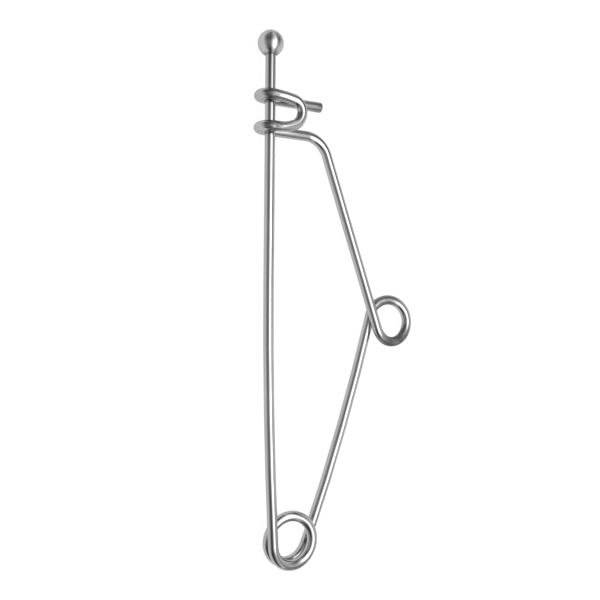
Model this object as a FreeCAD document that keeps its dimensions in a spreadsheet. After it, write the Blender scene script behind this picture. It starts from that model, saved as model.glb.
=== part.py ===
import FreeCAD, Part
import math
import os
import Sketcher
from FreeCAD import Vector

# Towel clamp bent from one length of round spring wire, with a ball on the pin.
# It lies on its back: +Y runs up the pin, +X from the pin to the side coil, and +Z is up.
# Plan positions are measured from the axis of the lower coil.

DRIVING_SIZES = (
    ("wire_dia", 2.7, "round spring wire"),
    ("lower_coil_radius", 6.15, "centre line of the lower coil"),
    ("lower_coil_gap", 0.4, "free space added between its turns"),
    ("pin_lean_angle", 3.37, "degrees the pin leans outwards at its foot"),
    ("pin_bow_angle", 3.35, "degrees the pin turns back inwards"),
    ("pin_bow_height", 34, "middle of that bow above the coil axis"),
    ("ball_dia", 6.7, "ball on the end of the pin"),
    ("ball_bore_depth", 4.4, "blind bore in the ball, from its lower pole"),
    ("braze_gap", 0.02, "film between the pin and the bore"),
    ("side_coil_x", 31.4, "side coil axis from the lower coil axis, across"),
    ("side_coil_height", 57.2, "side coil axis from the lower coil axis, up"),
    ("side_coil_radius", 5.88, "centre line of the side coil"),
    ("side_coil_gap", 0.7, "free space where its two arms cross"),
    ("arm_bow", 0.98, "height of the lower arm's outward bow"),
    ("straight_end", 1.4, "straight wire left between a bow and a coil"),
    ("hook_height", 106.4, "lower hook above the coil axis"),
    ("loop_width", 8.15, "from the lower hook to the upper hook"),
    ("pin_past_hooks", 13.5, "ball centre above the upper hook"),
    ("loop_reach", 7.8, "from the pin's centre to the end of the catch loop"),
    ("loop_shoulder", 4.3, "where its two strands turn inwards, before that end"),
    ("loop_fall", 0.37, "how far the upper strand falls to its shoulder"),
    ("loop_end_width", 5, "between the corners of its rounded end"),
    ("loop_end_shift", 0.33, "middle of that end above the middle of the hooks"),
    ("pin_clearance", 0.15, "between the pin and the hooks round it"),
    ("bend_reach", 17.15, "from the pin's centre to the bend"),
    ("bend_radius", 6.7, "centre line of the bend"),
    ("free_end_reach", 16.7, "from the pin's centre to the cut end"),
    ("end_chamfer", 0.35, "broken edge of the cut end"),
)
LOWER_COIL_STEPS = 18
SIDE_COIL_STEPS = 12
SHORTEST_EDGE = 0.0001

doc = FreeCAD.newDocument("towel_clamp")
sheet = doc.addObject("Spreadsheet::Sheet", "sizes")
for row, (alias, value, note) in enumerate(DRIVING_SIZES, start=1):
    sheet.set(f"A{row}", note)
    sheet.set(f"B{row}", str(value))
    sheet.setAlias(f"B{row}", alias)
doc.recompute()


def size(alias):
    return float(sheet.get(alias))


def polar(radius, angle):
    return Vector(radius * math.cos(angle), radius * math.sin(angle), 0)


def at_height(plan_point, height):
    return Vector(plan_point.x, plan_point.y, height)


def tangent_angle(centre, radius, point, side):
    """Where a line from the point touches the circle, as an angle about its centre."""
    across = point - centre
    return math.atan2(across.y, across.x) + side * math.acos(radius / across.Length)


def step_towards(start, target, distance):
    return start + (target - start).normalize() * distance


def coil_corners(centre, radius, start, sweep, first_height, last_height, steps):
    """Corners of the polygon round a coil; arcs inside them make the coil itself."""
    step = sweep / steps
    rise = (last_height - first_height) / (steps - 1)
    corner_radius = radius / math.cos(step / 2)
    corners = []
    for index in range(steps):
        corner = centre + polar(corner_radius, start + (index + 0.5) * step)
        corners.append(at_height(corner, first_height + index * rise))
    reach = math.hypot(2 * radius * math.tan(step / 2), rise) / 2
    return corners, reach


def bent_route(points, reaches):
    """Straight runs through the points, each corner rounded by an arc that starts
    at its reach before the corner and ends as far past it."""
    edges = []
    last = points[0]
    for index, reach in enumerate(reaches, start=1):
        corner = points[index]
        start = step_towards(corner, points[index - 1], reach)
        end = step_towards(corner, points[index + 1], reach)
        half_turn = (corner - start).getAngle(end - corner) / 2
        arc_radius = reach / math.tan(half_turn)
        crown_depth = arc_radius / math.cos(half_turn) - arc_radius
        crown = step_towards(corner, (start + end) / 2, crown_depth)
        if (start - last).Length > SHORTEST_EDGE:
            edges.append(Part.LineSegment(last, start).toShape())
        edges.append(Part.Arc(start, crown, end).toShape())
        last = end
    if (points[-1] - last).Length > SHORTEST_EDGE:
        edges.append(Part.LineSegment(last, points[-1]).toShape())
    return Part.Wire(edges)


def swept_wire(name, points, reaches):
    """A length of the round wire along its route, as a sweep of the wire's section."""
    route = doc.addObject("Part::Feature", name + "_route")
    route.Shape = bent_route(points, reaches)
    section = doc.addObject("Part::Circle", name + "_section")
    section.setExpression("Radius", "sizes.wire_dia / 2")
    facing = FreeCAD.Rotation(Vector(0, 0, 1), points[1] - points[0])
    section.Placement = FreeCAD.Placement(points[0], facing)
    sweep = doc.addObject("Part::Sweep", name)
    sweep.Sections = [section]
    sweep.Spine = (route, [f"Edge{index + 1}" for index in range(len(route.Shape.Edges))])
    sweep.Solid = True
    sweep.Frenet = False
    return sweep


wire_radius = size("wire_dia") / 2
back_height = wire_radius
coil_pitch = size("wire_dia") + size("lower_coil_gap")
hook_radius = size("wire_dia") + size("pin_clearance")
hook_front_height = back_height + 2 * hook_radius
pin_height_at_hooks = back_height + hook_radius

# Pin, in plan: up from its foot on the lower coil, bowed once, then straight to the ball
lower_coil_axis = Vector(0, 0, 0)
lean = math.radians(size("pin_lean_angle"))
lean_after_bow = lean - math.radians(size("pin_bow_angle"))
foot_angle = math.pi + lean
foot_plan = polar(size("lower_coil_radius"), foot_angle)


def leaning_from(start, lean_angle, along):
    """The point this far along Y on a line that leans to the left of Y."""
    return Vector(start.x - (along - start.y) * math.tan(lean_angle), along, 0)


bow_corner_plan = leaning_from(foot_plan, lean, size("pin_bow_height"))


def pin_plan(along):
    """Centre of the pin in plan, above its bow."""
    return leaning_from(bow_corner_plan, lean_after_bow, along)


lower_hook_y = size("hook_height")
upper_hook_y = lower_hook_y + size("loop_width")
ball_plan = pin_plan(upper_hook_y + size("pin_past_hooks"))
middle_hook_y = (lower_hook_y + upper_hook_y) / 2

# Plan of the frame: bow of the lower arm, and the corner of the bend above the upper arm
side_coil_axis = Vector(size("side_coil_x"), size("side_coil_height"), 0)
radii_sum = size("lower_coil_radius") + size("side_coil_radius")
axes_direction = math.atan2(side_coil_axis.y, side_coil_axis.x)
arm_direction = axes_direction + math.asin(radii_sum / side_coil_axis.Length)
outwards = polar(1, arm_direction - math.pi / 2)
arm_start = outwards * size("lower_coil_radius")
arm_finish = side_coil_axis - outwards * size("side_coil_radius")
arm_corner_plan = (arm_start + arm_finish) / 2 + outwards * 2 * size("arm_bow")
arm_corner = at_height(arm_corner_plan, back_height)
bend_corner = at_height(pin_plan(lower_hook_y) + Vector(size("bend_reach"), 0, 0), back_height)

# Lower coil: from the pin's foot round the front, then behind to the lower arm
leave_angle = tangent_angle(lower_coil_axis, size("lower_coil_radius"), arm_corner, -1)
lower_sweep = 2 * math.pi + (leave_angle - foot_angle) % (2 * math.pi)
lower_step = lower_sweep / LOWER_COIL_STEPS
coil_front_height = back_height + coil_pitch * (lower_sweep - lower_step) / (2 * math.pi)
lower_corners, lower_reach = coil_corners(
    lower_coil_axis, size("lower_coil_radius"), foot_angle, lower_sweep,
    coil_front_height, back_height, LOWER_COIL_STEPS)

# The pin slopes from the front of the lower coil down to its seat between the hooks
pin_fall = (coil_front_height - pin_height_at_hooks) / (middle_hook_y - lower_corners[0].y)


def on_pin(plan_point):
    return at_height(plan_point, coil_front_height - pin_fall * (plan_point.y - lower_corners[0].y))


bow_corner = on_pin(bow_corner_plan)
ball_centre = on_pin(ball_plan)
pin_direction = (ball_centre - bow_corner).normalize()
pin_past_centre = size("ball_bore_depth") - size("ball_dia") / 2 - size("braze_gap")
pin_end = ball_centre + pin_direction * pin_past_centre
pin_foot = step_towards(lower_corners[0], bow_corner, lower_reach)
pin_bow_reach = (bow_corner - pin_foot).Length - size("straight_end")
coil_heel = step_towards(lower_corners[-1], arm_corner, lower_reach)

# Side coil: over the top from the lower arm, round to the front, and off up the upper arm
arrive_angle = tangent_angle(side_coil_axis, size("side_coil_radius"), arm_corner, -1)
depart_angle = tangent_angle(side_coil_axis, size("side_coil_radius"), bend_corner, 1)
side_sweep = -((arrive_angle - depart_angle) % (2 * math.pi))
side_front_height = back_height + size("wire_dia") + size("side_coil_gap")
side_corners, side_reach = coil_corners(
    side_coil_axis, size("side_coil_radius"), arrive_angle, side_sweep,
    back_height, side_front_height, SIDE_COIL_STEPS)
arm_half = min((arm_corner - coil_heel).Length, (arm_corner - side_corners[0]).Length - side_reach)
arm_bow_reach = arm_half - size("straight_end")

# Hooks and catch loop: behind the pin, round its left, across the front and back again
lower_hook_x = pin_plan(lower_hook_y).x - hook_radius
upper_hook_x = pin_plan(upper_hook_y).x - hook_radius
loop_end_x = pin_plan(middle_hook_y).x + size("loop_reach")
shoulder_x = loop_end_x - size("loop_shoulder")
loop_end_y = middle_hook_y + size("loop_end_shift")
end_reach = size("loop_end_width") / 2
lower_shoulder = Vector(shoulder_x, lower_hook_y, hook_front_height)
upper_shoulder = Vector(shoulder_x, upper_hook_y - size("loop_fall"), hook_front_height)
lower_end = Vector(loop_end_x, loop_end_y - end_reach, hook_front_height)
upper_end = Vector(loop_end_x, loop_end_y + end_reach, hook_front_height)
lower_shoulder_reach = (lower_end - lower_shoulder).Length - end_reach
upper_shoulder_reach = (upper_end - upper_shoulder).Length - end_reach
catch_corners = [
    Vector(lower_hook_x, lower_hook_y, back_height),
    Vector(lower_hook_x, lower_hook_y, hook_front_height),
    lower_shoulder,
    lower_end,
    upper_end,
    upper_shoulder,
    Vector(upper_hook_x, upper_hook_y, hook_front_height),
    Vector(upper_hook_x, upper_hook_y, back_height),
]
catch_reaches = [
    hook_radius, hook_radius, lower_shoulder_reach, end_reach,
    end_reach, upper_shoulder_reach, hook_radius, hook_radius]
free_end_x = pin_plan(upper_hook_y).x + size("free_end_reach")
free_end = Vector(free_end_x, upper_hook_y, back_height)
bend_turn = (bend_corner - side_corners[-1]).getAngle(catch_corners[0] - bend_corner)
bend_corner_reach = size("bend_radius") * math.tan(bend_turn / 2)

pin_arm = swept_wire("pin_arm", [pin_end, bow_corner, pin_foot], [pin_bow_reach])
coil_spring = swept_wire(
    "coil_spring", [pin_foot] + lower_corners + [coil_heel], [lower_reach] * len(lower_corners))
frame_wire = swept_wire(
    "frame_wire",
    [coil_heel, arm_corner] + side_corners + [bend_corner] + catch_corners + [free_end],
    [arm_bow_reach] + [side_reach] * len(side_corners) + [bend_corner_reach] + catch_reaches)
doc.recompute()


def edge_at(shape, centre):
    """Number of the round edge with this centre."""
    for number, edge in enumerate(shape.Edges, start=1):
        if edge.Closed and (edge.Curve.Center - centre).Length < size("braze_gap"):
            return number
    raise ValueError("no round edge at the wire's end")


catch_frame = doc.addObject("Part::Chamfer", "catch_frame")
catch_frame.Base = frame_wire
catch_frame.Edges = [(edge_at(frame_wire.Shape, free_end), size("end_chamfer"), size("end_chamfer"))]


def origin_plane(body, role):
    return next(plane for plane in body.Origin.OriginFeatures if plane.Role == role)


def drilled_ball():
    """The ball turned about its own Z axis, with a blind bore from its lower pole."""
    body = doc.addObject("PartDesign::Body", "ball_tip")
    outline = body.newObject("Sketcher::SketchObject", "ball_outline")
    outline.AttachmentSupport = [(origin_plane(body, "XZ_Plane"), "")]
    outline.MapMode = "FlatFace"
    radius = size("ball_dia") / 2
    top = Vector(0, radius, 0)
    bottom = Vector(0, -radius, 0)
    outline.addGeometry(Part.Arc(bottom, Vector(radius, 0, 0), top))
    outline.addGeometry(Part.LineSegment(top, bottom))
    outline.addConstraint(Sketcher.Constraint("Coincident", 0, 3, -1, 1))
    outline.addConstraint(Sketcher.Constraint("Coincident", 1, 1, 0, 2))
    outline.addConstraint(Sketcher.Constraint("Coincident", 1, 2, 0, 1))
    outline.addConstraint(Sketcher.Constraint("PointOnObject", 0, 2, -2))
    outline.addConstraint(Sketcher.Constraint("PointOnObject", 0, 1, -2))
    outline.addConstraint(Sketcher.Constraint("Radius", 0, radius))
    outline.setExpression("Constraints[5]", "sizes.ball_dia / 2")
    ball = body.newObject("PartDesign::Revolution", "ball")
    ball.Profile = outline
    ball.ReferenceAxis = (outline, ["V_Axis"])
    ball.Angle = 360

    bore_outline = body.newObject("Sketcher::SketchObject", "bore_outline")
    bore_outline.AttachmentSupport = [(origin_plane(body, "XY_Plane"), "")]
    bore_outline.MapMode = "FlatFace"
    bore_outline.setExpression("AttachmentOffset.Base.z", "sizes.ball_bore_depth - sizes.ball_dia / 2")
    bore_outline.addGeometry(Part.Circle(Vector(0, 0, 0), Vector(0, 0, 1), wire_radius + size("braze_gap")))
    bore_outline.addConstraint(Sketcher.Constraint("Coincident", 0, 3, -1, 1))
    bore_outline.addConstraint(Sketcher.Constraint("Radius", 0, wire_radius + size("braze_gap")))
    bore_outline.setExpression("Constraints[1]", "sizes.wire_dia / 2 + sizes.braze_gap")
    bore = body.newObject("PartDesign::Pocket", "bore")
    bore.Profile = bore_outline
    bore.Type = "ThroughAll"
    body.Tip = bore
    return body


ball_tip = drilled_ball()
doc.recompute()

# The finished clamp is centred in plan, with the bench at zero height
left_edge = min(lower_hook_x, upper_hook_x) - wire_radius
right_edge = side_coil_axis.x + size("side_coil_radius") + wire_radius
lower_edge = -size("lower_coil_radius") - wire_radius
upper_edge = ball_centre.y + size("ball_dia") / 2
to_centre = -Vector(left_edge + right_edge, lower_edge + upper_edge, 0) / 2
for wire_piece in (pin_arm, coil_spring, catch_frame):
    wire_piece.Placement = FreeCAD.Placement(to_centre, FreeCAD.Rotation())
ball_turn = FreeCAD.Rotation(Vector(0, 0, 1), pin_direction)
ball_tip.Placement = FreeCAD.Placement(ball_centre + to_centre, ball_turn)
doc.recompute()

sub_parts = (pin_arm, coil_spring, catch_frame, ball_tip)
for item in doc.Objects:
    if "Invalid" in item.State or "Error" in item.State:
        raise RuntimeError(f"{item.Name} failed")
for sub_part in sub_parts:
    sub_part.Label = sub_part.Name
    if sub_part.Shape.isNull() or not sub_part.Shape.isValid():
        raise RuntimeError(f"{sub_part.Name} has no valid shape")

os.makedirs("parts", exist_ok=True)
for sub_part in sub_parts:
    sub_part.Shape.exportStep(os.path.join("parts", sub_part.Label + ".step"))
    print(sub_part.Label, round(sub_part.Shape.Volume, 2), "mm3")
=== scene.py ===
import math
import bpy
import numpy as np
from mathutils import Matrix, Vector


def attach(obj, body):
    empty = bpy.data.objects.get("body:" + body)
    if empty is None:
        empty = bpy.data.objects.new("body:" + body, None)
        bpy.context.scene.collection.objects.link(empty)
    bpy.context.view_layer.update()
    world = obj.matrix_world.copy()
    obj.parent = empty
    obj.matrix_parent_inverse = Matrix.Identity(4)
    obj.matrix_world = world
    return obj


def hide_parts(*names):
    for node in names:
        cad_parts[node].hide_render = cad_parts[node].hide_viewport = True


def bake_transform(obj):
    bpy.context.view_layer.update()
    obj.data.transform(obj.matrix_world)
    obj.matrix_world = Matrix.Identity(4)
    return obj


# Towel clamp of bent spring wire, lying on its back on a white bench.
# Sizes are in metres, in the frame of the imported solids: +Y up the pin, +Z off the bench.

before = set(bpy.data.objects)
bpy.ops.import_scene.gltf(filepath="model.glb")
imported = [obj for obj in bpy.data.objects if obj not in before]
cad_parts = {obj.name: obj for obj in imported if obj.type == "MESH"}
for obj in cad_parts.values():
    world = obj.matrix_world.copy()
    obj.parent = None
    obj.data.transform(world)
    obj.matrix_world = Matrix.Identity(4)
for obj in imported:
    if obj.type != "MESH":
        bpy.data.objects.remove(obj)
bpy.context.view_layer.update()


# Sizes of the wire's route, measured from the axis of the lower coil as in the solids

WIRE_RADIUS = 0.00135
LOWER_COIL_RADIUS = 0.00615
LOWER_COIL_GAP = 0.0004
LOWER_COIL_STEPS = 18
PIN_LEAN = math.radians(3.37)
PIN_BOW = math.radians(3.35)
PIN_BOW_HEIGHT = 0.034
BALL_RADIUS = 0.00335
BALL_BORE_DEPTH = 0.0044
BRAZE_GAP = 0.00002
SIDE_AXIS = np.array((0.0314, 0.0572, 0.0))
SIDE_COIL_RADIUS = 0.00588
SIDE_COIL_GAP = 0.0007
SIDE_COIL_STEPS = 12
ARM_BOW = 0.00098
STRAIGHT_END = 0.0014
HOOK_HEIGHT = 0.1064
LOOP_WIDTH = 0.00815
PIN_PAST_HOOKS = 0.0135
LOOP_REACH = 0.0078
LOOP_SHOULDER = 0.0043
LOOP_FALL = 0.00037
LOOP_END_WIDTH = 0.005
LOOP_END_SHIFT = 0.00033
PIN_CLEARANCE = 0.00015
BEND_REACH = 0.01715
BEND_RADIUS = 0.0067
FREE_END_REACH = 0.0167

# Fineness of the smooth wire, and the edge of its cut end

TURN_STEP = math.radians(3.0)
RUN_STEP = 0.002
SHORTEST_RUN = 0.00001
FEWEST_ARC_STEPS = 4
SIDES = 64
END_ROUND = 0.0003
END_RINGS = 6
FULL_TURN = 2 * math.pi

# The shown wire is a little thinner, so that its facets stay inside the box of the solids

SHOWN_RADIUS = WIRE_RADIUS - 0.000007


def unit(vector):
    return vector / np.linalg.norm(vector)


def towards(start, target, distance):
    return start + unit(target - start) * distance


def turn_between(first, second):
    return math.acos(min(1.0, float(unit(first) @ unit(second))))


def polar(radius, angle):
    return np.array((radius * math.cos(angle), radius * math.sin(angle), 0.0))


def raised(plan_point, height):
    return np.array((plan_point[0], plan_point[1], height))


def tangent_angle(axis, radius, point, side):
    """Where a line from the point touches the circle, as an angle about its centre."""
    across = (point - axis)[:2]
    return math.atan2(across[1], across[0]) + side * math.acos(radius / np.linalg.norm(across))


def coil_corners(axis, radius, start, sweep, first_height, last_height, steps):
    """Corners of the polygon round a coil, each with the reach of the arc inside it."""
    step = sweep / steps
    rise = (last_height - first_height) / (steps - 1)
    corner_radius = radius / math.cos(step / 2)
    reach = math.hypot(2 * radius * math.tan(step / 2), rise) / 2
    corners = []
    for index in range(steps):
        corner = axis + polar(corner_radius, start + (index + 0.5) * step)
        corners.append((raised(corner, first_height + index * rise), reach))
    return corners


def leaning_from(start, lean, along):
    """The point this far along Y on a line that leans to the left of Y."""
    return np.array((start[0] - (along - start[1]) * math.tan(lean), along, 0.0))


# The pin in plan, and where the hooks take it

back = WIRE_RADIUS
hook_radius = 2 * WIRE_RADIUS + PIN_CLEARANCE
hook_front = back + 2 * hook_radius
lower_axis = np.zeros(3)
foot_angle = math.pi + PIN_LEAN
bow_plan = leaning_from(polar(LOWER_COIL_RADIUS, foot_angle), PIN_LEAN, PIN_BOW_HEIGHT)


def pin_plan(along):
    return leaning_from(bow_plan, PIN_LEAN - PIN_BOW, along)


upper_hook = HOOK_HEIGHT + LOOP_WIDTH
middle_hook = HOOK_HEIGHT + LOOP_WIDTH / 2

# Lower arm with its bow, and the corner of the bend

axes_direction = math.atan2(SIDE_AXIS[1], SIDE_AXIS[0])
arm_direction = axes_direction + math.asin((LOWER_COIL_RADIUS + SIDE_COIL_RADIUS) / np.linalg.norm(SIDE_AXIS))
outwards = polar(1, arm_direction - math.pi / 2)
arm_middle = (outwards * LOWER_COIL_RADIUS + SIDE_AXIS - outwards * SIDE_COIL_RADIUS) / 2
arm_corner = raised(arm_middle + outwards * 2 * ARM_BOW, back)
bend_corner = raised(pin_plan(HOOK_HEIGHT) + (BEND_REACH, 0, 0), back)

# Lower coil, and the pin that slopes from its front down to the hooks

leave_angle = tangent_angle(lower_axis, LOWER_COIL_RADIUS, arm_corner, -1)
lower_sweep = FULL_TURN + (leave_angle - foot_angle) % FULL_TURN
coil_pitch = 2 * WIRE_RADIUS + LOWER_COIL_GAP
coil_front = back + coil_pitch * (lower_sweep - lower_sweep / LOWER_COIL_STEPS) / FULL_TURN
lower_coil = coil_corners(
    lower_axis, LOWER_COIL_RADIUS, foot_angle, lower_sweep, coil_front, back, LOWER_COIL_STEPS)
first_corner, lower_reach = lower_coil[0]
last_corner = lower_coil[-1][0]
pin_fall = (coil_front - back - hook_radius) / (middle_hook - first_corner[1])


def on_pin(plan_point):
    return raised(plan_point, coil_front - pin_fall * (plan_point[1] - first_corner[1]))


bow_corner = on_pin(bow_plan)
ball_centre = on_pin(pin_plan(upper_hook + PIN_PAST_HOOKS))
pin_direction = unit(ball_centre - bow_corner)
pin_end = ball_centre + pin_direction * (BALL_BORE_DEPTH - BALL_RADIUS - BRAZE_GAP)
pin_foot = towards(first_corner, bow_corner, lower_reach)
pin_bow_reach = np.linalg.norm(bow_corner - pin_foot) - STRAIGHT_END
heel = towards(last_corner, arm_corner, lower_reach)

# Side coil between the two arms

arrive_angle = tangent_angle(SIDE_AXIS, SIDE_COIL_RADIUS, arm_corner, -1)
depart_angle = tangent_angle(SIDE_AXIS, SIDE_COIL_RADIUS, bend_corner, 1)
side_coil = coil_corners(
    SIDE_AXIS, SIDE_COIL_RADIUS, arrive_angle, -((arrive_angle - depart_angle) % FULL_TURN),
    back, back + 2 * WIRE_RADIUS + SIDE_COIL_GAP, SIDE_COIL_STEPS)
arm_end_room = np.linalg.norm(arm_corner - side_coil[0][0]) - side_coil[0][1]
arm_bow_reach = min(np.linalg.norm(arm_corner - heel), arm_end_room) - STRAIGHT_END

# Hooks and catch loop: behind the pin, round its left, across the front and back again

lower_hook_x = pin_plan(HOOK_HEIGHT)[0] - hook_radius
upper_hook_x = pin_plan(upper_hook)[0] - hook_radius
loop_end_x = pin_plan(middle_hook)[0] + LOOP_REACH
shoulder_x = loop_end_x - LOOP_SHOULDER
loop_end_y = middle_hook + LOOP_END_SHIFT
end_reach = LOOP_END_WIDTH / 2
lower_shoulder = np.array((shoulder_x, HOOK_HEIGHT, hook_front))
upper_shoulder = np.array((shoulder_x, upper_hook - LOOP_FALL, hook_front))
lower_end = np.array((loop_end_x, loop_end_y - end_reach, hook_front))
upper_end = np.array((loop_end_x, loop_end_y + end_reach, hook_front))
catch = [
    (np.array((lower_hook_x, HOOK_HEIGHT, back)), hook_radius),
    (np.array((lower_hook_x, HOOK_HEIGHT, hook_front)), hook_radius),
    (lower_shoulder, np.linalg.norm(lower_end - lower_shoulder) - end_reach),
    (lower_end, end_reach),
    (upper_end, end_reach),
    (upper_shoulder, np.linalg.norm(upper_end - upper_shoulder) - end_reach),
    (np.array((upper_hook_x, upper_hook, hook_front)), hook_radius),
    (np.array((upper_hook_x, upper_hook, back)), hook_radius)]
bend_turn = turn_between(bend_corner - side_coil[-1][0], catch[0][0] - bend_corner)
bend = (bend_corner, BEND_RADIUS * math.tan(bend_turn / 2))
free_end = np.array((pin_plan(upper_hook)[0] + FREE_END_REACH, upper_hook, back))

# The solids are centred in plan

left_edge = min(lower_hook_x, upper_hook_x) - WIRE_RADIUS
right_edge = SIDE_AXIS[0] + SIDE_COIL_RADIUS + WIRE_RADIUS
lower_edge = -LOWER_COIL_RADIUS - WIRE_RADIUS
upper_edge = ball_centre[1] + BALL_RADIUS
to_centre = -np.array((left_edge + right_edge, lower_edge + upper_edge, 0.0)) / 2


def run_points(start, end):
    count = max(1, round(np.linalg.norm(end - start) / RUN_STEP))
    return [start + (end - start) * index / count for index in range(count)]


def arc_points(start, corner, end):
    """Points from the start towards the end of the arc that touches both legs of the corner."""
    ahead = unit(corner - start)
    arrive = unit(end - corner)
    turn = turn_between(ahead, arrive)
    radius = np.linalg.norm(corner - start) / math.tan(turn / 2)
    inwards = unit(arrive - ahead * (ahead @ arrive))
    count = max(FEWEST_ARC_STEPS, math.ceil(turn / TURN_STEP))
    angles = [turn * index / count for index in range(count)]
    return [start + radius * (ahead * math.sin(angle) + inwards * (1 - math.cos(angle))) for angle in angles]


def centre_line(first, bends, last):
    """Closely spaced points along straight runs and the arcs that round their corners."""
    corners = [first] + [corner for corner, reach in bends] + [last]
    points = []
    place = first
    for index, (corner, reach) in enumerate(bends, start=1):
        start = towards(corner, corners[index - 1], reach)
        end = towards(corner, corners[index + 1], reach)
        if np.linalg.norm(start - place) > SHORTEST_RUN:
            points += run_points(place, start)
        points += arc_points(start, corner, end)
        place = end
    if np.linalg.norm(last - place) > SHORTEST_RUN:
        points += run_points(place, last)
    return np.array(points + [last]) + to_centre


pin_side_line = centre_line(pin_end, [(bow_corner, pin_bow_reach)] + lower_coil, heel)
frame_line = centre_line(heel, [(arm_corner, arm_bow_reach)] + side_coil + [bend] + catch, free_end)


# Meshes

def carried_across(tangent, across):
    """A direction across the wire at each tangent, carried along it without twist."""
    carried = np.zeros_like(tangent)
    for index, heading in enumerate(tangent):
        across = unit(across - heading * (across @ heading))
        carried[index] = across
    return carried


def new_piece(name, verts, faces, unbent):
    """A shown piece. Each of its points also keeps a place on the straight, unbent stock,
    whose Z runs along it, for the marks of drawing and turning."""
    mesh = bpy.data.meshes.new(name)
    mesh.from_pydata(verts, [], faces)
    attribute = mesh.attributes.new("unbent", "FLOAT_VECTOR", "POINT")
    attribute.data.foreach_set("vector", np.array(unbent, np.float32).ravel())
    mesh.polygons.foreach_set("use_smooth", [len(face) <= 4 for face in faces])
    piece = bpy.data.objects.new(name, mesh)
    bpy.context.scene.collection.objects.link(piece)
    return piece


def wire_piece(name, place, across, length_before, rounded_end=False):
    """A round wire along the points, with the length and crosswise direction at its end."""
    tangent = np.gradient(place, axis=0)
    tangent /= np.linalg.norm(tangent, axis=1, keepdims=True)
    side = carried_across(tangent, across)
    other = np.cross(tangent, side)
    spans = np.linalg.norm(np.diff(place, axis=0), axis=1)
    length = length_before + np.concatenate([[0], np.cumsum(spans)])
    end_length, end_side = length[-1], side[-1]
    radius = np.full(len(place), SHOWN_RADIUS)
    if rounded_end:
        turn = np.linspace(0, math.pi / 2, END_RINGS + 1)
        before_tip = END_ROUND * (1 - np.sin(turn))
        kept = length < end_length - END_ROUND
        place = np.vstack([place[kept], place[-1] - before_tip[:, None] * tangent[-1]])
        side = np.vstack([side[kept], np.repeat(side[-1:], len(turn), axis=0)])
        other = np.vstack([other[kept], np.repeat(other[-1:], len(turn), axis=0)])
        length = np.concatenate([length[kept], end_length - before_tip])
        radius = np.concatenate([radius[kept], SHOWN_RADIUS - END_ROUND * (1 - np.cos(turn))])
    angle = np.arange(SIDES) * FULL_TURN / SIDES
    cosine, sine = np.cos(angle)[None, :, None], np.sin(angle)[None, :, None]
    outwards = cosine * side[:, None, :] + sine * other[:, None, :]
    verts = (place[:, None, :] + radius[:, None, None] * outwards).reshape(-1, 3)
    unbent = np.zeros((len(place), SIDES, 3))
    unbent[..., 0] = radius[:, None] * np.cos(angle)
    unbent[..., 1] = radius[:, None] * np.sin(angle)
    unbent[..., 2] = length[:, None]
    ring = np.arange(SIDES)
    after = (ring + 1) % SIDES
    faces = [ring[::-1].tolist()]
    for index in range(len(place) - 1):
        low, high = index * SIDES, (index + 1) * SIDES
        faces += np.stack([low + ring, low + after, high + after, high + ring], axis=1).tolist()
    faces.append(((len(place) - 1) * SIDES + ring).tolist())
    return new_piece(name, verts.tolist(), faces, unbent), end_length, end_side


BALL_SIDES = 96
BALL_RINGS = 64
BRAZE_RADIUS = 0.00015


def ball_profile():
    """Radius and height down the ball's outline, and round the braze on to the pin."""
    reach = WIRE_RADIUS + BRAZE_RADIUS
    braze_height = -math.sqrt((BALL_RADIUS + BRAZE_RADIUS) ** 2 - reach ** 2)
    touch = math.atan2(reach, -braze_height)
    profile = []
    for index in range(BALL_RINGS + 1):
        angle = (math.pi - touch) * index / BALL_RINGS
        profile.append((BALL_RADIUS * math.sin(angle), BALL_RADIUS * math.cos(angle)))
    for index in range(1, END_RINGS + 1):
        angle = touch + (math.pi / 2 - touch) * index / END_RINGS
        profile.append((reach - BRAZE_RADIUS * math.sin(angle), braze_height + BRAZE_RADIUS * math.cos(angle)))
    return profile


def turned_ball():
    top, *rings = ball_profile()
    verts = [(0.0, 0.0, top[1])]
    unbent = [(0.0, 0.0, top[1])]
    for radius, height in rings:
        for side in range(BALL_SIDES):
            across = polar(1, FULL_TURN * side / BALL_SIDES)
            verts.append((radius * across[0], radius * across[1], height))
            unbent.append((BALL_RADIUS * across[0], BALL_RADIUS * across[1], height))
    faces = []
    for side in range(BALL_SIDES):
        after = (side + 1) % BALL_SIDES
        faces.append((0, 1 + side, 1 + after))
        for ring in range(len(rings) - 1):
            low, high = 1 + ring * BALL_SIDES, 1 + (ring + 1) * BALL_SIDES
            faces.append((low + side, high + side, high + after, low + after))
    last = 1 + (len(rings) - 1) * BALL_SIDES
    faces.append(tuple(last + side for side in reversed(range(BALL_SIDES))))
    piece = new_piece("ball", verts, faces, unbent)
    facing = Vector(pin_direction).to_track_quat("Z", "X").to_matrix().to_4x4()
    piece.data.transform(Matrix.Translation(ball_centre + to_centre) @ facing)
    return piece


first_across = np.array((1.0, 0.0, 0.0))
pin_and_coil, wire_length, carried = wire_piece("pin_and_coil", pin_side_line, first_across, 0.0)
frame_wire, *_ = wire_piece("frame_wire", frame_line, carried, wire_length, True)
ball = turned_ball()


def mark_dull_and_shade(piece, marks):
    """Keeps on each point how strongly tool marks, braze and painted shade darken and dull it, from 0 to 1.
    Each mark has a place, the reach within which it is strongest and its strength."""
    places = np.array([vertex.co for vertex in piece.data.vertices])
    dulled_and_shaded = np.zeros(len(places))
    for place, reach, strength in marks:
        distance = np.linalg.norm(places - (place + to_centre), axis=1)
        dulled_and_shaded = np.maximum(dulled_and_shaded, strength * np.clip(2 - distance / reach, 0, 1))
    attribute = piece.data.attributes.new("dulled_and_shaded", "FLOAT", "POINT")
    attribute.data.foreach_set("value", dulled_and_shaded.astype(np.float32))


def on_side_coil(degrees, height):
    return raised(SIDE_AXIS + polar(SIDE_COIL_RADIUS, math.radians(degrees)), height)


def on_hook(along, left_of_pin):
    return np.array((pin_plan(along)[0] - left_of_pin, along, hook_front + WIRE_RADIUS))
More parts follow.
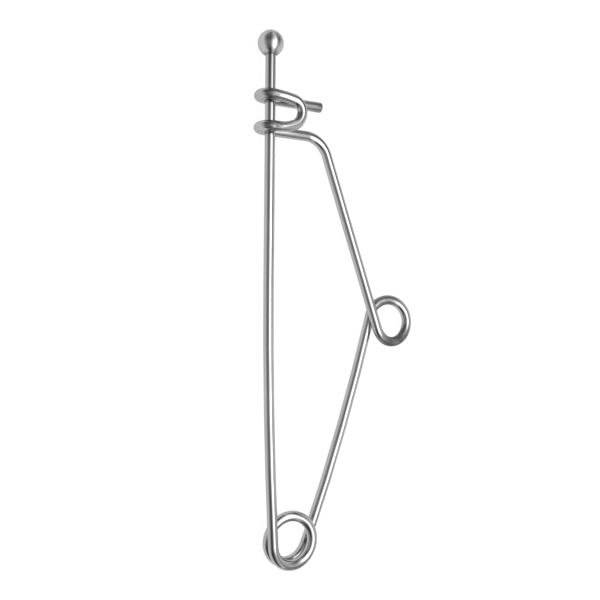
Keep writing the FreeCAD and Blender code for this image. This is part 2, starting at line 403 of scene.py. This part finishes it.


# Where the tools gripped the wire: both hooks as they cross the pin, the tight turn of the side coil, the cut
# end and the foot of the lower coil.
# The three marks on the side coil also carry painted shade, and the mark at the foot of the lower coil is also
# painted shade that dims the highlight there. The braze leaves a dark ring at the neck of the ball.

between_turns = 2 * WIRE_RADIUS
coil_foot = raised(polar(LOWER_COIL_RADIUS, math.radians(-76)), coil_front + WIRE_RADIUS)
neck = ball_centre - pin_direction * BALL_RADIUS
mark_dull_and_shade(frame_wire, [
    (on_hook(HOOK_HEIGHT, 0.0006), 0.0014, 1.0),
    (on_hook(upper_hook, 0.0010), 0.0014, 0.9),
    # The three marks on the side coil are tool marks with painted shade over them
    (on_side_coil(118, back), 0.0030, 0.8),
    (on_side_coil(-62, between_turns), 0.0028, 1.0),
    (on_side_coil(-105, between_turns), 0.0030, 1.0),
    (free_end, 0.0022, 0.6)])
# Painted shade that dims the highlight at the foot of the lower coil, over its brushed marks
mark_dull_and_shade(pin_and_coil, [(coil_foot, 0.0012, 0.5)])
mark_dull_and_shade(ball, [(neck, 0.0012, 1.0)])


# Materials

def add(tree, kind, inputs=None, **settings):
    """A node with its settings, and its inputs given as values or as other nodes' outputs."""
    node = tree.nodes.new(kind)
    for name, value in settings.items():
        setattr(node, name, value)
    for name, value in (inputs or {}).items():
        if isinstance(value, bpy.types.NodeSocket):
            tree.links.new(value, node.inputs[name])
        else:
            node.inputs[name].default_value = value
    return node


def maths(tree, operation, first, second=0.0, third=0.0):
    inputs = {0: first, 1: second, 2: third}
    return add(tree, "ShaderNodeMath", inputs, operation=operation).outputs[0]


def mapped(tree, value, low, high, to_low=0.0, to_high=1.0):
    """The value's place between low and high, smoothly, as a number between to_low and to_high."""
    inputs = {"Value": value, "From Min": low, "From Max": high, "To Min": to_low, "To Max": to_high}
    return add(tree, "ShaderNodeMapRange", inputs, interpolation_type="SMOOTHSTEP").outputs[0]


def noise(tree, place, scales, detail=2.0, roughness=0.5):
    """Noise whose grain is one over the scales, in metres, along each direction."""
    spread = add(tree, "ShaderNodeVectorMath", {0: place, 1: scales}, operation="MULTIPLY").outputs[0]
    inputs = {"Vector": spread, "Scale": 1.0, "Detail": detail, "Roughness": roughness}
    return add(tree, "ShaderNodeTexNoise", inputs).outputs["Fac"]


def new_material(name):
    material = bpy.data.materials.new(name)
    material.use_nodes = True
    tree = material.node_tree
    tree.nodes.clear()
    return material, tree


EDGE_TINT = 0.75
# Dark grey and added roughness of the marked places, which hold tool marks, braze and painted shade
SHADE_AND_DULL_GREY, DULL_ROUGHNESS, DULL_LEAST = 0.13, 0.3, 0.65
SCRATCH_ROUGHNESS, SCRATCH_HEIGHT = 0.12, -0.5
CLOUD_SHARE, WIDE_LINE_SHARE, WIDE_LINE_HEIGHT = 0.6, 0.4, 0.6
BUMP_STRENGTH = 0.6
QUARTER_TURN = 0.25

# The levels between which most noise lies, and those between which the marks fade in

NOISE_RANGE = (0.3, 0.7)
SCRATCHED, WORN, BLOTCHED = (0.66, 0.74), (0.45, 0.65), (0.38, 0.58)

# Grain of the marks per metre, across the wire twice and along it

DRAWN_LINES = (9000, 9000, 160)
WIDE_LINES = (2200, 2200, 45)
CLOUDS = (350, 350, 120)
SCRATCHES = (900, 900, 14000)
BLOTCHES = (1600, 1600, 800)


def grey(value):
    return value, value, value, 1


def mixed(tree, factor, first, second):
    inputs = {"Factor": factor, "A": first, "B": second}
    return add(tree, "ShaderNodeMix", inputs, data_type="RGBA").outputs["Result"]


def steel(name, pale, dark, roughness, line_depth, turned=0.0):
    """Polished steel: faint lines along the wire, cross scratches, tarnish, and darker, duller places from tool
    marks, braze and painted shade.
    """
    material, tree = new_material(name)
    unbent = add(tree, "ShaderNodeAttribute", attribute_name="unbent").outputs["Vector"]
    lines = noise(tree, unbent, DRAWN_LINES, detail=4.0, roughness=0.6)
    wide_lines = noise(tree, unbent, WIDE_LINES, detail=2.0)
    cloud = noise(tree, unbent, CLOUDS, detail=3.0)
    scratches = mapped(tree, noise(tree, unbent, SCRATCHES, detail=2.0), *SCRATCHED)
    worn = maths(tree, "MULTIPLY", scratches, mapped(tree, cloud, *WORN))
    blotches = mapped(tree, noise(tree, unbent, BLOTCHES, detail=4.0, roughness=0.7), *BLOTCHED, DULL_LEAST, 1.0)
    dulled_and_shaded = add(tree, "ShaderNodeAttribute", attribute_name="dulled_and_shaded").outputs["Fac"]
    dulled_and_shaded = maths(tree, "MULTIPLY", dulled_and_shaded, blotches)

    cloudy = mapped(tree, cloud, *NOISE_RANGE, 0.0, CLOUD_SHARE)
    lined = mapped(tree, wide_lines, *NOISE_RANGE, 0.0, WIDE_LINE_SHARE)
    colour = mixed(tree, maths(tree, "ADD", cloudy, lined), grey(dark), grey(pale))
    # Marked places darken towards a dark grey: tool marks, braze, and painted shade on the side coil and at the
    # lower coil's foot
    colour = mixed(tree, dulled_and_shaded, colour, grey(SHADE_AND_DULL_GREY))
    rough = mapped(tree, lines, *NOISE_RANGE, *roughness)
    rough = maths(tree, "MULTIPLY_ADD", worn, SCRATCH_ROUGHNESS, rough)
    rough = maths(tree, "MULTIPLY_ADD", dulled_and_shaded, DULL_ROUGHNESS, rough)
    height = maths(tree, "MULTIPLY_ADD", wide_lines, WIDE_LINE_HEIGHT, lines)
    height = maths(tree, "MULTIPLY_ADD", worn, SCRATCH_HEIGHT, height)
    relief = {"Height": height, "Strength": BUMP_STRENGTH, "Distance": line_depth}
    bump = add(tree, "ShaderNodeBump", relief).outputs["Normal"]
    shader = add(tree, "ShaderNodeBsdfPrincipled", {
        "Base Color": colour, "Metallic": 1.0, "Roughness": rough, "Normal": bump,
        "Specular Tint": grey(EDGE_TINT)})
    if turned:
        around = add(tree, "ShaderNodeTangent", direction_type="RADIAL", axis="Y").outputs["Tangent"]
        tree.links.new(around, shader.inputs["Tangent"])
        shader.inputs["Anisotropic"].default_value = turned
        shader.inputs["Anisotropic Rotation"].default_value = QUARTER_TURN
    output = add(tree, "ShaderNodeOutputMaterial")
    tree.links.new(shader.outputs[0], output.inputs["Surface"])
    return material


wire_steel = steel("wire_steel", pale=0.46, dark=0.39, roughness=(0.08, 0.16), line_depth=0.000003)
ball_steel = steel("ball_steel", pale=0.52, dark=0.45, roughness=(0.17, 0.23), line_depth=0.000004, turned=1.0)
for piece, material in ((pin_and_coil, wire_steel), (frame_wire, wire_steel), (ball, ball_steel)):
    piece.data.materials.append(material)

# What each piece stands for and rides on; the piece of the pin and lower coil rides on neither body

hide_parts("pin_arm", "coil_spring")
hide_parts("catch_frame")
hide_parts("ball_tip")
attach(frame_wire, "frame")
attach(ball, "pin")
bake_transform(pin_and_coil)


# Bench, light and camera

BENCH_HALF = 2.0
bench_mesh = bpy.data.meshes.new("bench")
bench_corners = [(-1, -1), (1, -1), (1, 1), (-1, 1)]
bench_mesh.from_pydata([(x * BENCH_HALF, y * BENCH_HALF, 0) for x, y in bench_corners], [], [(0, 1, 2, 3)])
bench = bpy.data.objects.new("bench", bench_mesh)
bpy.context.scene.collection.objects.link(bench)

BENCH_GLOW = 0.95
BENCH_COLOUR = 0.10


def bench_material():
    """Pale bench that shows white, with the object's soft shadow kept."""
    material, tree = new_material("white_bench")
    path = add(tree, "ShaderNodeLightPath")
    seen = maths(tree, "MAXIMUM", path.outputs["Is Camera Ray"], path.outputs["Is Glossy Ray"])
    seen = maths(tree, "MAXIMUM", seen, path.outputs["Is Transmission Ray"])
    glow = add(tree, "ShaderNodeEmission", {"Strength": maths(tree, "MULTIPLY", seen, BENCH_GLOW)})
    plain = add(tree, "ShaderNodeBsdfDiffuse", {"Color": grey(BENCH_COLOUR)})
    both = add(tree, "ShaderNodeAddShader")
    tree.links.new(glow.outputs[0], both.inputs[0])
    tree.links.new(plain.outputs[0], both.inputs[1])
    output = add(tree, "ShaderNodeOutputMaterial")
    tree.links.new(both.outputs[0], output.inputs["Surface"])
    return material


bench_mesh.materials.append(bench_material())


TENT_RADIUS = 0.25
TENT_SIDES = 96
TENT_RINGS = 24


def tent_piece():
    """A half-round tent of white cloth over the bench, seen only in the steel and by its light."""
    verts = [(0.0, 0.0, TENT_RADIUS)]
    for ring in range(1, TENT_RINGS + 1):
        lean = math.pi / 2 * ring / TENT_RINGS
        for side in range(TENT_SIDES):
            across = polar(TENT_RADIUS * math.sin(lean), FULL_TURN * side / TENT_SIDES)
            verts.append((across[0], across[1], TENT_RADIUS * math.cos(lean)))
    faces = []
    for side in range(TENT_SIDES):
        after = (side + 1) % TENT_SIDES
        faces.append((0, 1 + after, 1 + side))
        for ring in range(TENT_RINGS - 1):
            low, high = 1 + ring * TENT_SIDES, 1 + (ring + 1) * TENT_SIDES
            faces.append((low + side, low + after, high + after, high + side))
    mesh = bpy.data.meshes.new("tent")
    mesh.from_pydata(verts, [], faces)
    tent = bpy.data.objects.new("tent", mesh)
    tent.visible_camera = False
    bpy.context.scene.collection.objects.link(tent)
    return tent


# The softbox and the dark gaps beside it. Their edges are in degrees, from start to end of each
# fade. Those to the right and left go round the Y axis, from +X over the top to -X. The left
# gap's middle and the tent's ends go from the middle towards +Y and -Y alike, all others
# towards +Y. A depth is the share of the light that a gap takes away. BEYOND, TOP and SPILL
# are the shares of a gap or of the softbox that are left past its edge.

SOFTBOX_RIGHT, SOFTBOX_LEFT = (64, 68), (84, 124)
SOFTBOX_DOWN, SOFTBOX_UP = (-44, -27), (17, 44)
SOFTBOX_STRENGTH, SOFTBOX_SPILL = 2.9, 0.2
LEFT_GAP_RIGHT, LEFT_GAP_LEFT, LEFT_GAP_BEYOND = (80, 88), (154, 168), 0.3
LEFT_GAP_MIDDLE, LEFT_GAP_DEPTH = (16, 31), (0.68, 0.82)
RIGHT_GAP_RIGHT, RIGHT_GAP_LEFT = (18, 37), (36, 86)
RIGHT_GAP_LOW, RIGHT_GAP_LOW_DEPTH = (-7, 10), (0.16, 0.56)
RIGHT_GAP_HIGH, RIGHT_GAP_HIGH_DEPTH = (20, 31), (0, 0.3)
GAPS_TOP, LEFT_GAP_TOP, RIGHT_GAP_TOP = (34, 58), 0.65, 0.25
TENT_ENDS, TENT_ENDS_DEPTH = (20, 47), 0.55


def tent_material():
    """White cloth with one long softbox overhead, a dark gap on each side of it and darker ends."""
    material, tree = new_material("tent_cloth")
    place = add(tree, "ShaderNodeTexCoord").outputs["Object"]
    heading = add(tree, "ShaderNodeVectorMath", {0: place}, operation="NORMALIZE").outputs[0]
    axes = add(tree, "ShaderNodeSeparateXYZ", {0: heading})
    over = maths(tree, "DEGREES", maths(tree, "ARCTAN2", axes.outputs["Z"], axes.outputs["X"]))
    along = maths(tree, "DEGREES", maths(tree, "ARCSINE", axes.outputs["Y"]))
    away = maths(tree, "ABSOLUTE", along)

    def both(first, second):
        return maths(tree, "MULTIPLY", first, second)

    def without(level, depth):
        return both(level, maths(tree, "SUBTRACT", 1.0, depth))

    softbox = both(mapped(tree, over, *SOFTBOX_RIGHT), mapped(tree, over, *SOFTBOX_LEFT, 1, 0))
    softbox = both(softbox, mapped(tree, along, *SOFTBOX_UP, 1, SOFTBOX_SPILL))
    softbox = both(softbox, mapped(tree, along, *SOFTBOX_DOWN, SOFTBOX_SPILL, 1))
    left_gap = both(mapped(tree, over, *LEFT_GAP_RIGHT), mapped(tree, over, *LEFT_GAP_LEFT, 1, LEFT_GAP_BEYOND))
    left_gap = both(left_gap, mapped(tree, away, *LEFT_GAP_MIDDLE, *LEFT_GAP_DEPTH))
    left_gap = both(left_gap, mapped(tree, along, *GAPS_TOP, 1, LEFT_GAP_TOP))
    low = mapped(tree, along, *RIGHT_GAP_LOW, *RIGHT_GAP_LOW_DEPTH)
    high = mapped(tree, along, *RIGHT_GAP_HIGH, *RIGHT_GAP_HIGH_DEPTH)
    right_gap = both(mapped(tree, over, *RIGHT_GAP_RIGHT), mapped(tree, over, *RIGHT_GAP_LEFT, 1, 0))
    right_gap = both(right_gap, maths(tree, "ADD", low, high))
    right_gap = both(right_gap, mapped(tree, along, *GAPS_TOP, 1, RIGHT_GAP_TOP))
    ends = mapped(tree, away, *TENT_ENDS, 0, TENT_ENDS_DEPTH)
    level = without(without(maths(tree, "SUBTRACT", 1.0, left_gap), right_gap), ends)
    level = maths(tree, "MULTIPLY_ADD", softbox, SOFTBOX_STRENGTH, level)
    glow = add(tree, "ShaderNodeEmission", {"Strength": level})
    output = add(tree, "ShaderNodeOutputMaterial")
    tree.links.new(glow.outputs[0], output.inputs["Surface"])
    return material


tent_piece().data.materials.append(tent_material())

world = bpy.data.worlds.new("white_room")
world.use_nodes = True
world.node_tree.nodes["Background"].inputs["Color"].default_value = grey(1)
bpy.context.scene.world = world

CAMERA_PLACE = (-0.106326, 0.000356, 0.169982)
CAMERA_AHEAD = Vector((0.496217, 0.001173, -0.868198))
CAMERA_UP = Vector((-0.013621, 0.999887, -0.006434))
FOCAL_PIXELS = 730.14
IMAGE_PIXELS = 600
HALF_PIXEL = 0.5 / IMAGE_PIXELS
camera_data = bpy.data.cameras.new("camera")
camera_data.sensor_width = 36.0
camera_data.lens = camera_data.sensor_width * FOCAL_PIXELS / IMAGE_PIXELS
camera_data.shift_x = -HALF_PIXEL
camera_data.shift_y = HALF_PIXEL
camera_data.clip_start = 0.01
camera_data.clip_end = 20.0
camera = bpy.data.objects.new("camera", camera_data)
bpy.context.scene.collection.objects.link(camera)
ahead = CAMERA_AHEAD.normalized()
right = ahead.cross(CAMERA_UP).normalized()
turned = Matrix((right, right.cross(ahead), -ahead)).transposed()
camera.matrix_world = Matrix.Translation(CAMERA_PLACE) @ turned.to_4x4()
bpy.context.scene.camera = camera
bpy.context.scene.view_settings.view_transform = "Standard"
